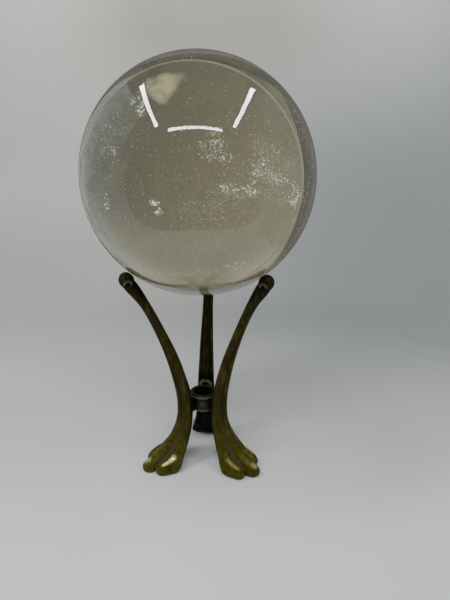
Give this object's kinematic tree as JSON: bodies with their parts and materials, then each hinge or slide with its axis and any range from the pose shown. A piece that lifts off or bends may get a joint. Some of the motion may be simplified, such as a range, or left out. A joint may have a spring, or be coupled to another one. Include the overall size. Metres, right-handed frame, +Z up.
{
  "type": "crystal ball on a stand",
  "caption": "Polished smoky quartz ball resting loose on the bead heads of a cast brass stand whose clawed legs are riveted to a small central ring.",
  "frame": {"origin": "on the floor, straight below the centre of the ball", "axes": "+Z up; +Y towards the rear leg; the two front legs stand 120 degrees to either side of it"},
  "size_m": [0.11, 0.11, 0.2062],
  "materials": {
    "smoky_quartz": "polished, faintly smoky, with veils and small inclusions",
    "aged_brass": "cast, olive-brown patina, worn brighter on the toes and ridges",
    "dark_brass": "cast, green-black patina"
  },
  "bodies": {
    "stand": {"leg_rear": "aged_brass", "leg_front_left": "aged_brass", "leg_front_right": "aged_brass", "center_ring": "dark_brass", "rivet_rear": "dark_brass", "rivet_front_left": "dark_brass", "rivet_front_right": "dark_brass"},
    "ball": {"crystal_ball": "smoky_quartz"}
  },
  "joints": [
    {"name": "ball_lift", "type": "slide", "parent": "stand", "child": "ball", "axis": [0, 0, 1], "range_m": [0, 0.06]}
  ]
}
